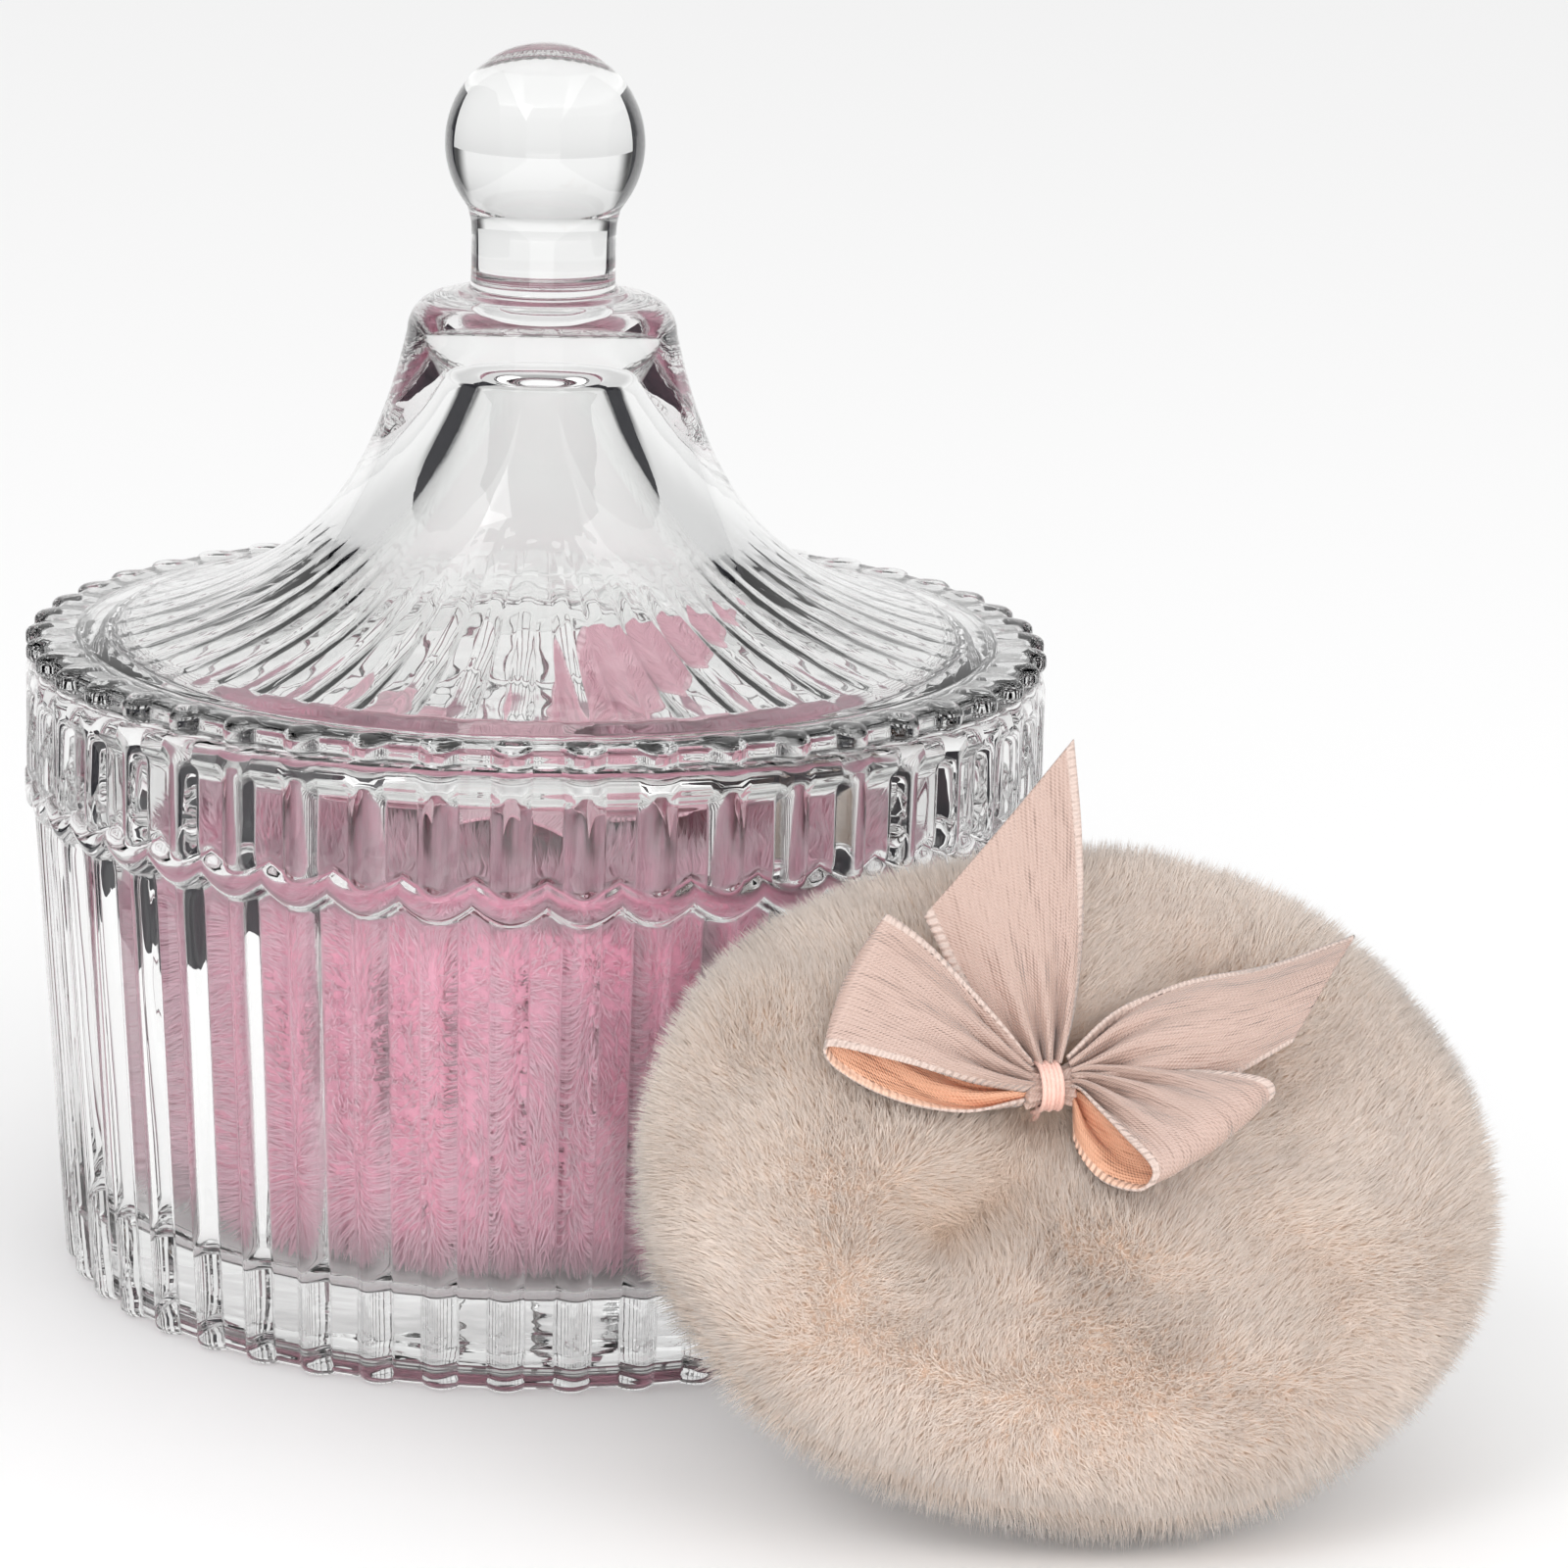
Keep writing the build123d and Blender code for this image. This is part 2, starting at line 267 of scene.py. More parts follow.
def weaveGroup():
    # satin weave in mm from a uv map of 60 mm: slanting float stitches, warp streaks and beaded selvages
    group, into, out = newGroup(
        "satinWeave",
        [
            ("Vector", "NodeSocketVector", None), ("Thread", "NodeSocketFloat", 0.42),
            ("Width", "NodeSocketFloat", 16.0), ("Bead", "NodeSocketFloat", 0.8),
        ],
        [
            ("Height", "NodeSocketFloat"), ("Stitch", "NodeSocketFloat"),
            ("Selvage", "NodeSocketFloat"), ("Streak", "NodeSocketFloat"),
        ],
    )
    split = group.nodes.new("ShaderNodeSeparateXYZ")
    plug(group, placed(group, into["Vector"], (60, 60, 60)), split.inputs[0])
    across, along = split.outputs[0], split.outputs[1]
    turn = calc(group, "DIVIDE", 2 * math.pi, into["Thread"])
    slant = calc(group, "ADD", across, calc(group, "MULTIPLY", along, 0.5))
    first = calc(group, "SINE", calc(group, "MULTIPLY", slant, turn))
    second = calc(group, "SINE", calc(group, "MULTIPLY", calc(group, "MULTIPLY", along, 0.62), turn))
    stitch = calc(group, "MULTIPLY_ADD", calc(group, "MULTIPLY", first, second), 0.5, 0.5)
    edge = calc(group, "MINIMUM", across, calc(group, "SUBTRACT", into["Width"], across))
    selvage = calc(group, "SUBTRACT", 1.0, ramp(group, edge, 0.75, 1.0))
    beadTurn = calc(group, "DIVIDE", 2 * math.pi, into["Bead"])
    bead = calc(group, "MULTIPLY_ADD", calc(group, "SINE", calc(group, "MULTIPLY", along, beadTurn)), 0.5, 0.5)
    plain = calc(group, "MULTIPLY", stitch, calc(group, "SUBTRACT", 1.0, selvage))
    height = calc(group, "MULTIPLY_ADD", calc(group, "MULTIPLY", bead, selvage), 2.2, plain)
    streak = noise(group, placed(group, into["Vector"], (420, 14, 1)), 1.0, 2.0)
    for label, value in (("Height", height), ("Stitch", stitch), ("Selvage", selvage), ("Streak", streak)):
        plug(group, value, out[label])
    return group


def glassGroup():
    # pressed glass: long soft ripples from the mould, faint drag lines, and a thin bloom of handling
    group, into, out = newGroup(
        "pressedGlass",
        [
            ("Vector", "NodeSocketVector", None), ("Ripple", "NodeSocketFloat", 70.0),
            ("Drag", "NodeSocketFloat", 240.0), ("Bloom", "NodeSocketFloat", 0.03),
        ],
        [("Height", "NodeSocketFloat"), ("Roughness", "NodeSocketFloat")],
    )
    ripple = noise(group, into["Vector"], into["Ripple"], 1.0)
    drag = noise(group, placed(group, into["Vector"], (1, 1, 0.15)), into["Drag"], 1.0)
    plug(group, calc(group, "MULTIPLY_ADD", drag, 0.22, ripple), out["Height"])
    bloom = ramp(group, noise(group, into["Vector"], 55.0, 3.0), 0.5, 0.8)
    plug(group, calc(group, "MULTIPLY", bloom, into["Bloom"]), out["Roughness"])
    return group


fibreTone = fibreGroup()
satinWeave = weaveGroup()
pressedGlass = glassGroup()
print("shared effects built")


def objectPoints(tree):
    return tree.nodes.new("ShaderNodeTexCoord").outputs["Object"]


def readValue(tree, name):
    node = tree.nodes.new("ShaderNodeAttribute")
    node.attribute_name = name
    return node.outputs["Fac"]


def glassMaterial(name, tint, ripple, height):
    material, tree, shader = newMaterial(
        name, Base_Color=tint, Transmission_Weight=1.0, IOR=1.5, Metallic=0.0, Roughness=0.0
    )
    effect = useGroup(tree, pressedGlass, Vector=objectPoints(tree), Ripple=ripple)
    plug(tree, bump(tree, effect["Height"], height), shader["Normal"])
    plug(tree, effect["Roughness"], shader["Roughness"])
    # lamps shine through the glass, so what stands inside is lit
    through = tree.nodes.new("ShaderNodeBsdfTransparent")
    through.inputs[0].default_value = (0.99, 0.99, 0.99, 1)
    choose = tree.nodes.new("ShaderNodeMixShader")
    plug(tree, tree.nodes.new("ShaderNodeLightPath").outputs["Is Shadow Ray"], choose.inputs[0])
    tree.links.new(tree.nodes["Principled BSDF"].outputs[0], choose.inputs[1])
    tree.links.new(through.outputs[0], choose.inputs[2])
    tree.links.new(choose.outputs[0], tree.nodes["Material Output"].inputs[0])
    return material


def plushMaterial(name, root, tip, warm):
    material, tree, shader = newMaterial(
        name, Roughness=0.85, Specular_IOR_Level=0.2, Sheen_Weight=0.35, Sheen_Roughness=0.4
    )
    # painted shade: the attribute read here mixes the darker root colour into the hair feet, the skin and the
    # hollows
    tone = useGroup(
        tree, fibreTone, Vector=objectPoints(tree), Root=root, Tip=tip, Warm=warm,
        Reach=readValue(tree, "rootShadeFade"), Tuft=readValue(tree, "pileTuft"),
    )
    plug(tree, tone["Color"], shader["Base Color"])
    return material


def satinMaterial(name, face, dipShade, edge, rough=0.34, sheen=0.3):
    material, tree, shader = newMaterial(
        name, Specular_IOR_Level=0.95, Sheen_Weight=sheen, Sheen_Roughness=0.3, Anisotropic=0.55
    )
    uv = tree.nodes.new("ShaderNodeUVMap")
    uv.uv_map = "clothUv"
    weave = useGroup(tree, satinWeave, Vector=uv.outputs[0])
    # painted shade in the weave: the second colour darkens the low parts of the stitches
    tone = blendColour(tree, calc(tree, "MULTIPLY", weave["Stitch"], 0.55), dipShade, face)
    tone = blendColour(tree, calc(tree, "MULTIPLY", weave["Streak"], 0.5), tone, face)
    tone = blendColour(tree, calc(tree, "MULTIPLY", weave["Selvage"], 0.7), tone, edge)
    plug(tree, tone, shader["Base Color"])
    plug(tree, calc(tree, "MULTIPLY_ADD", weave["Stitch"], -0.1, rough + 0.08), shader["Roughness"])
    # soft crush marks of handled ribbon under the weave
    crush = bump(tree, noise(tree, placed(tree, uv.outputs[0], (22, 9, 1)), 1.0, 2.0), 0.0016, 0.8)
    plug(tree, bump(tree, weave["Height"], 0.00009, 0.9, crush), shader["Normal"])
    return material


def threadMaterial(name, root, tip):
    material, tree, shader = newMaterial(name, Roughness=0.6, Sheen_Weight=0.3)
    tone = useGroup(
        tree, fibreTone, Vector=objectPoints(tree), Root=root, Tip=tip, Warm=root,
        Patch=700.0, Streak=5000.0,
    )
    plug(tree, tone["Color"], shader["Base Color"])
    plug(tree, bump(tree, tone["Height"], 0.0001), shader["Normal"])
    return material


clearGlass = glassMaterial("jarGlass", (0.955, 0.96, 0.955, 1), 60.0, 0.00025)
lidGlass = glassMaterial("lidGlass", (0.955, 0.96, 0.955, 1), 45.0, 0.00025)
# creamPlush and pinkPlush: the first colour is the darker root colour, painted shade deep in the pile and in
# the hollows
creamPlush = plushMaterial("creamPlush", (0.84, 0.63, 0.49, 1), (0.89, 0.81, 0.75, 1), (0.86, 0.73, 0.64, 1))
pinkPlush = plushMaterial("pinkPlush", (0.92, 0.42, 0.56, 1), (0.98, 0.70, 0.79, 1), (0.94, 0.52, 0.66, 1))
fibreFill = plushMaterial("polyesterFill", (0.62, 0.60, 0.57, 1), (0.85, 0.84, 0.82, 1), (0.7, 0.68, 0.64, 1))
# the second colour of each satin is painted shade for the low parts of the weave
peachSatin = satinMaterial(
    "peachSatin", (0.64, 0.475, 0.42, 1), (0.44, 0.30, 0.245, 1), (0.70, 0.57, 0.51, 1), 0.24
)
peachLining = satinMaterial(
    "peachSatinBack", (0.84, 0.46, 0.30, 1), (0.72, 0.36, 0.22, 1), (0.84, 0.58, 0.45, 1), 0.5, 0.1
)
pinkSatin = satinMaterial("pinkSatin", (0.88, 0.54, 0.62, 1), (0.74, 0.38, 0.47, 1), (0.92, 0.66, 0.72, 1))
pinkLining = satinMaterial(
    "pinkSatinBack", (0.84, 0.44, 0.54, 1), (0.7, 0.32, 0.42, 1), (0.9, 0.6, 0.68, 1), 0.5, 0.1
)
peachThread = threadMaterial("peachThread", (0.78, 0.44, 0.36, 1), (0.93, 0.66, 0.58, 1))
pinkThread = threadMaterial("pinkThread", (0.74, 0.38, 0.46, 1), (0.90, 0.60, 0.66, 1))
print("materials built")


studio = {
    "camera": (0.02455, -0.560, 0.18755), "pitch": 0.2443, "roll": 0.0258, "lens": 134.1,
    "floorHalf": 4.0, "cardPlace": 0.15, "worldBack": 1.0, "worldFront": 0.52, "worldSoft": 0.92,
    "cardReach": (-0.42, 0.125), "cardTop": 0.34,
    # name, place, side of the square and watts of each lamp
    "lamps": [
        ("keyLamp", (-0.55, -0.75, 0.85), 0.5, 2.5), ("fillLamp", (0.8, -0.7, 0.5), 0.6, 1.5),
        ("frontLamp", (0.12, -1.2, 0.14), 0.8, 10.0),
    ],
}


def buildStudio():
    camera = bpy.data.objects.new("camera", bpy.data.cameras.new("camera"))
    camera.data.lens = studio["lens"]
    camera.data.sensor_width = 36.0
    camera.data.clip_start, camera.data.clip_end = 0.05, 20
    tilt = Matrix.Rotation(math.pi / 2 - studio["pitch"], 4, "X") @ Matrix.Rotation(studio["roll"], 4, "Z")
    camera.matrix_world = Matrix.Translation(studio["camera"]) @ tilt
    scene.collection.objects.link(camera)
    scene.camera = camera

    half = studio["floorHalf"]
    corners = np.array([[-half, -half, 0], [half, -half, 0], [half, half, 0], [-half, half, 0]]) / mm
    corners[:, 2] = -0.05
    paper, _, shader = newMaterial("palePaper", Base_Color=(0.93, 0.93, 0.93, 1), Roughness=0.9)
    shader["Specular IOR Level"].default_value = 0.0
    floor = bpy.data.objects.new("floor", makeMesh("floor", corners, [np.array([[0, 1, 2, 3]])]))
    floor.data.materials.append(paper)
    scene.collection.objects.link(floor)

    # dark cards at both sides, seen only in glass and gloss, draw the glass edges
    card, _, shader = newMaterial("darkCard", Base_Color=(0.03, 0.03, 0.035, 1), Roughness=1.0)
    shader["Specular IOR Level"].default_value = 0.0
    for name, side in (("leftCard", -1), ("rightCard", 1)):
        x = side * studio["cardPlace"]
        near, far = studio["cardReach"]
        top = studio["cardTop"]
        corners = np.array([[x, near, 0], [x, far, 0], [x, far, top], [x, near, top]]) / mm
        flag = bpy.data.objects.new(name, makeMesh(name, corners, [np.array([[0, 1, 2, 3]])]))
        flag.data.materials.append(card)
        flag.visible_camera = flag.visible_diffuse = flag.visible_shadow = False
        scene.collection.objects.link(flag)

    for name, place, size, power in studio["lamps"]:
        data = bpy.data.lights.new(name, "AREA")
        data.shape, data.size, data.energy = "SQUARE", size, power
        lamp = bpy.data.objects.new(name, data)
        aim = (Vector((0.02, 0, 0.04)) - Vector(place)).to_track_quat("-Z", "Y")
        lamp.matrix_world = Matrix.Translation(place) @ aim.to_matrix().to_4x4()
        lamp.visible_camera = False
        lamp.visible_transmission = False
        lamp.visible_glossy = name != "frontLamp"
        scene.collection.objects.link(lamp)

    world = bpy.data.worlds.new("studioWorld")
    scene.world = world
    world.use_nodes = True
    tree = world.node_tree
    split = tree.nodes.new("ShaderNodeSeparateXYZ")
    plug(tree, tree.nodes.new("ShaderNodeTexCoord").outputs["Generated"], split.inputs[0])
    x, y, z = split.outputs
    # white behind, greyer in front and higher up, with a dark flag and a tall soft box at each side
    front = ramp(tree, calc(tree, "MULTIPLY", y, -1.0), -0.25, 0.35)
    value = calc(tree, "MULTIPLY_ADD", front, studio["worldFront"] - studio["worldBack"], studio["worldBack"])
    value = calc(tree, "MULTIPLY", value, calc(tree, "MULTIPLY_ADD", ramp(tree, z, 0.0, 0.5), -0.25, 1.0))
    side = calc(tree, "ABSOLUTE", x)
    low = calc(tree, "SUBTRACT", 1.0, ramp(tree, z, 0.45, 0.7))
    flag = calc(tree, "MULTIPLY", ramp(tree, side, 0.6, 0.75), low)
    value = calc(tree, "MULTIPLY", value, calc(tree, "MULTIPLY_ADD", flag, -0.9, 1.0))
    boxes = calc(
        tree, "MULTIPLY", ramp(tree, calc(tree, "ABSOLUTE", calc(tree, "SUBTRACT", side, 0.5)), 0.16, 0.12),
        calc(tree, "MULTIPLY", front, ramp(tree, z, 0.1, 0.25)),
    )
    value = calc(tree, "MULTIPLY_ADD", boxes, 1.3, value)
    value = calc(tree, "MULTIPLY_ADD", ramp(tree, z, 0.75, 0.95), 0.35, value)
    # only glass and gloss see that pattern; everything else is lit by an even white, and the camera sees white
    rays = tree.nodes.new("ShaderNodeLightPath").outputs
    shiny = calc(tree, "MAXIMUM", rays["Is Glossy Ray"], rays["Is Transmission Ray"])
    soft = studio["worldSoft"]
    value = calc(tree, "MULTIPLY_ADD", shiny, calc(tree, "SUBTRACT", value, soft), soft)
    value = calc(tree, "MULTIPLY_ADD", rays["Is Camera Ray"], calc(tree, "SUBTRACT", 1.0, value), value)
    plug(tree, value, tree.nodes["Background"].inputs["Strength"])
    tree.nodes["Background"].inputs["Color"].default_value = (1, 1, 1, 1)

    scene.view_settings.view_transform = "Standard"
    scene.cycles.max_bounces = 18
    scene.cycles.transmission_bounces = 16
    scene.cycles.glossy_bounces = 8
    scene.cycles.diffuse_bounces = 5
    scene.cycles.transparent_max_bounces = 16


buildStudio()
print("studio built")


flutes = {
    "count": 46,
    "share": 0.56,  # part of each pitch that is rib; the rest is flat groove
    # places of the grid's columns across one pitch, close together at the two creases
    "fine": (-0.5, -0.42, -0.35, -0.3, -0.28, -0.262, -0.22, -0.17, -0.115, -0.06,
             0.0, 0.06, 0.115, 0.17, 0.22, 0.262, 0.28, 0.3, 0.35, 0.42),
    "medium": (-0.5, -0.4, -0.3, -0.275, -0.22, -0.15, -0.075, 0.0, 0.075, 0.15, 0.22, 0.275, 0.3, 0.4),
}


def arcRows(centre, radius, start, stop, count, **extra):
    # rows on an arc of the outline; angles in degrees, 0 is outwards and 90 is up
    a = np.radians(np.linspace(start, stop, count))
    return [(centre[0] + radius * math.cos(t), centre[1] + radius * math.sin(t), extra) for t in a]


def glassSurface(rows, columns):
    # each row is (crest radius, height, changes): the radius drops by flute in the grooves, the height lifts by
    # wave towards the middle of each groove and drops by rib under each rib
    phase = np.array(columns)
    half = flutes["share"] / 2
    rib = np.tile(np.clip(1 - (phase / half) ** 2, 0, 1), flutes["count"])
    cusp = np.tile((2 * np.abs(phase)) ** 2, flutes["count"])
    angle = ((np.arange(flutes["count"])[:, None] + phase[None, :]) * 2 * math.pi / flutes["count"]).ravel()
    radius = np.array([r[0] for r in rows])[:, None]
    height = np.array([r[1] for r in rows])[:, None]
    flute, wave, under = (np.array([r[2].get(k, 0.0) for r in rows])[:, None] for k in ("flute", "wave", "rib"))
    r = radius - flute * (1 - rib)
    z = height + wave * cusp - under * rib
    points = np.stack([r * np.sin(angle), -r * np.cos(angle), z + 0 * angle], -1)
    poles = [(0, 0, rows[0][1]), (0, 0, rows[-1][1])]
    return closedGrid(points, poles)


def between(first, last, count, **extra):
    # rows evenly from one point of the outline to the next, without the two ends
    t = np.linspace(0, 1, count + 2)[1:-1]
    return [(first[0] + (last[0] - first[0]) * k, first[1] + (last[1] - first[1]) * k, extra) for k in t]


jarShape = {
    "footRadius": 46.3, "shoulderRadius": 49.5, "taperTop": 49.5, "bodyFlute": 1.3,
    "collarRadius": 50.0, "rim": 60.6, "mouth": 44.6,
    "wellRadius": 42.4, "wellCorner": 3.0, "floor": 8.0, "recessRadius": 37.0, "recess": 0.8,
}


def jarRows():
    j = jarShape
    body = lambda z: j["footRadius"] + (j["shoulderRadius"] - j["footRadius"]) * z / j["taperTop"]
    b = j["bodyFlute"]
    rows = [(12, j["recess"], {}), (30, j["recess"], {})]
    rows += arcRows((j["recessRadius"] - 0.5, j["recess"] - 0.5), 0.5, 90, 45, 3)
    rows += arcRows((j["recessRadius"] + 0.4, 0.3), 0.3, 200, 270, 4)
    rows += [(40.5, 0, {}), (43.5, 0, {"flute": 0.6}), (45.0, 0, {"flute": b})]
    rows += arcRows((body(1.0) - 1.1, 1.1), 1.1, -80, -4, 7, flute=b)
    rows += [(body(z), z, {"flute": b}) for z in (1.4, 2.2, 6, 14, 24, 34, 41, 43.4)]
    # waved bead between the body and the collar
    bead = [
        (49.2, 44.8, b, 0.5), (49.22, 45.5, 1.15, 1.1), (49.22, 45.9, 0.95, 1.5), (49.3, 46.1, 0.6, 1.6),
        (49.55, 46.25, 0.25, 1.6), (49.85, 46.5, 0.06, 1.58), (50.02, 46.9, 0, 1.55), (50.08, 47.4, 0, 1.45),
        (50.03, 47.95, 0, 1.38), (49.88, 48.35, 0.06, 1.32), (49.65, 48.6, 0.3, 1.3), (49.5, 48.75, 0.7, 1.3),
        (49.55, 48.95, 1.05, 1.25), (49.75, 49.3, 1.2, 1.1), (49.93, 49.8, 1.25, 0.85), (50.0, 50.6, 1.25, 0.4),
        (50.0, 51.6, 1.25, 0.05),
    ]
    rows += [(r, z, {"flute": f, "wave": w}) for r, z, f, w in bead]
    c = j["collarRadius"]
    lip = [
        (c, 54.0, 1.25), (c, 56.6, 1.25), (c, 57.2, 1.22), (c, 57.6, 1.05), (c, 57.9, 0.75), (c, 58.15, 0.45),
        (c, 58.45, 0.26), (c - 0.02, 58.9, 0.2), (c - 0.1, 59.4, 0.2), (c - 0.3, 59.9, 0.16),
        (c - 0.65, 60.28, 0.1), (c - 1.1, 60.5, 0.05), (c - 1.7, 60.6, 0),
    ]
    rows += [(r, z, {"flute": f}) for r, z, f in lip]
    rows += [(47, j["rim"], {}), (46.0, j["rim"], {})]
    rows += arcRows((j["mouth"] + 0.8, j["rim"] - 0.8), 0.8, 90, 178, 6)
    wallTop, wallFoot = (j["mouth"], j["rim"] - 1.2), (j["wellRadius"], j["floor"] + j["wellCorner"] + 0.4)
    rows += between(wallTop, wallFoot, 7) + [(*wallFoot, {})]
    rows += arcRows((j["wellRadius"] - 3.0, j["floor"] + 3.0), 3.0, 0, -90, 9)
    rows += [(38.8, j["floor"], {}), (30, j["floor"], {}), (12, j["floor"], {})]
    return rows


lidShape = {
    "seat": 60.7, "radius": 50.0, "flute": 1.25, "spigot": 44.1, "spigotInner": 41.5,
    "spigotDrop": 3.5, "ribDepth": 0.18, "ribFade": (13.0, 40.0),
    "ball": 9.65, "ballCentre": 50.2,
}


def flare(axis, top, foot, radii):
    # height falls off as one over the distance from an upright line at radius axis
    pull = lambda r: 1 / (r - axis)
    lift = (top[1] - foot[1]) / (pull(top[0]) - pull(foot[0]))
    return foot[1] + lift * (pull(radii) - pull(foot[0]))


def lidRows():
    s = lidShape
    rows = []
    # domed roof of the hollow, then its flared side with ribs that fade out upwards
    for t in (0.25, 0.5, 0.75, 0.92):
        rows.append((6.3 * math.sin(t * math.pi / 2), 26.3 + 2.2 * math.cos(t * math.pi / 2), {}))
    radii = 6.3 * (41.5 / 6.3) ** np.linspace(0, 1, 34)
    heights = flare(-7.0, (6.3, 26.3), (41.5, 0.4), radii)
    fade = smooth(radii, *s["ribFade"]) * s["ribDepth"] * (1 - smooth(radii, 40.2, 41.5))
    rows += [(r, z, {"rib": f}) for r, z, f in zip(radii, heights, fade)]
    rows += [(41.5, -0.3, {}), (41.5, -1.8, {}), (41.5, -2.9, {})]
    rows += arcRows((s["spigotInner"] + 0.5, 0.5 - s["spigotDrop"]), 0.5, 190, 260, 4)
    rows += arcRows((s["spigot"] - 0.5, 0.5 - s["spigotDrop"]), 0.5, -85, -5, 5)
    rows += [(s["spigot"], -2.4, {}), (s["spigot"], -0.4, {}), (s["spigot"] + 0.15, -0.05, {})]
    f = s["flute"]
    rows += [(45.2, 0, {}), (47.0, 0, {"flute": 0.1}), (48.6, 0, {"flute": f * 0.5})]
    rows += arcRows((s["radius"] - 0.75, 0.75), 0.75, -85, 0, 6, flute=f)
    rows += [(s["radius"], 1.1, {"flute": f}), (s["radius"], 1.35, {"flute": f})]
    edge = [
        (49.93, 1.65, f, 0), (49.7, 1.93, f, 0.0), (49.35, 2.12, f, -0.02), (48.9, 2.2, f * 0.9, -0.06),
        (48.3, 2.22, f * 0.6, -0.14), (47.6, 2.22, f * 0.25, -0.2), (46.8, 2.2, 0, -0.18),
        (45.9, 2.18, 0, -0.1), (45.2, 2.16, 0, -0.04),
    ]
    rows += [(r, z, {"flute": a, "rib": b}) for r, z, a, b in edge]
    # tent, from its foot to the round shoulder under the neck
    rows += [(44.85, 2.18, {}), (44.6, 2.3, {})]
    radii = 44.4 * (13.1 / 44.4) ** np.linspace(0, 1, 36)
    heights = flare(4.8, (13.1, 31.9), (44.6, 2.4), radii)
    rows += [(r, z, {}) for r, z in zip(radii, heights)]
    rows += arcRows((9.5, 31.9), 3.6, 8, 84, 9) + [(9.4, 35.5, {}), (8.9, 35.52, {})]
    # a fine ring at the foot of the neck
    neck = [
        (8.5, 35.6), (8.2, 35.85), (7.9, 36.02), (7.6, 36.05), (7.35, 36.1), (7.15, 36.35),
        (7.02, 36.8), (7.0, 37.4), (6.98, 39.5), (7.0, 41.6), (7.05, 42.5), (7.2, 43.15),
    ]
    rows += [(r, z, {}) for r, z in neck]
    rows += arcRows((0, s["ballCentre"]), s["ball"], -39.5, 87, 26)
    return [(r, z + s["seat"], extra) for r, z, extra in rows]


def buildGlass():
    points, faces = glassSurface(jarRows(), flutes["fine"])
    addPiece("jar_glass", makeMesh("jarGlass", points, faces), clearGlass, "jar", ["jar_body"])
    points, faces = glassSurface(lidRows(), flutes["medium"])
    addPiece("lid_glass", makeMesh("lidGlass", points, faces), lidGlass, "lid", ["lid"])


buildGlass()
print("glass built")


tilt = math.radians(42)
turn = math.radians(15)
leanTurn = np.array(Matrix.Rotation(turn, 3, "Z") @ Matrix.Rotation(tilt, 3, "X"))
boundLow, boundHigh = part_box("cream_puff_bow_binding")
leanKnot = np.array((boundLow + boundHigh) / 2) / mm
pinkLow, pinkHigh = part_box("pink_puff_bow_binding")
pinkKnot = np.array((pinkLow + pinkHigh) / 2) / mm

creamPuff = {
    "name": "cream_puff", "body": "cream_puff", "slot": "cream_plush", "turn": leanTurn, "tack": (-3.9, 3.8),
    "knot": leanKnot, "knotHeight": 11.7, "radius": 36.0, "crown": 12.0, "belly": 10.0, "crownRadius": 21.0,
    "dimple": 3.5, "skin": 2.8, "pile": 3.4, "pileWidth": 0.17, "hairs": (160000, 80000), "lay": 0.45,
    "lumps": 0.55, "seed": 7, "limit": None, "ground": 0.15, "square": 2.2, "pinch": 0.03, "draw": 0.2,
    "tuft": 1.7,
    # (times round, size, start) of each wave in the outline
    "outline": [(0, 0.05, 0), (2, -0.09, 0), (3, 0.012, 1.1), (5, 0.007, 0.4)],
    # (x, y, reach, depth) of each hollow pressed into the face
    "hollows": [(-3.9, 3.8, 6.5, 3.2), (-15.0, -8.5, 4.6, 3.6), (-10.0, -5.5, 4.2, 2.4), (12.0, 12.0, 7.0, 1.2),
                (-4.0, -24.0, 4.5, 0.8), (16.0, -14.0, 6.0, 0.7)],
}
pinkPuff = {
    "name": "pink_puff", "body": "pink_puff", "slot": "pink_plush", "turn": np.eye(3), "tack": (0.0, 0.0),
    "knot": pinkKnot, "knotHeight": 19.7, "radius": 40.0, "crown": 20.5, "belly": 16.5, "crownRadius": 28.0,
    "dimple": 4.0, "skin": 1.6, "pile": 3.2, "pileWidth": 0.34, "hairs": (45000, 45000), "lay": 0.6,
    "lumps": 0.9, "seed": 19, "limit": 42.6, "ground": 8.3, "square": 3.2, "pinch": 0.0, "draw": 0.3,
    "tuft": 1.7,
    "outline": [(0, 0.05, 0), (3, 0.004, 1.1)],
    "hollows": [(0.0, 0.0, 7.0, 4.0), (12.0, 16.0, 7.0, 1.5), (-15.0, -6.0, 7.0, 1.2)],
}

# grid of a cover, and how far inside its outline the lining and the filling lie
cover = {"rows": 60, "columns": 190, "lining": 4.0, "filling": 5.2}


def puffOrigin(puff):
    return puff["knot"] - puff["turn"] @ np.array([*puff["tack"], puff["knotHeight"]])


def puffPlace(puff, points):
    return points @ puff["turn"].T + puffOrigin(puff)


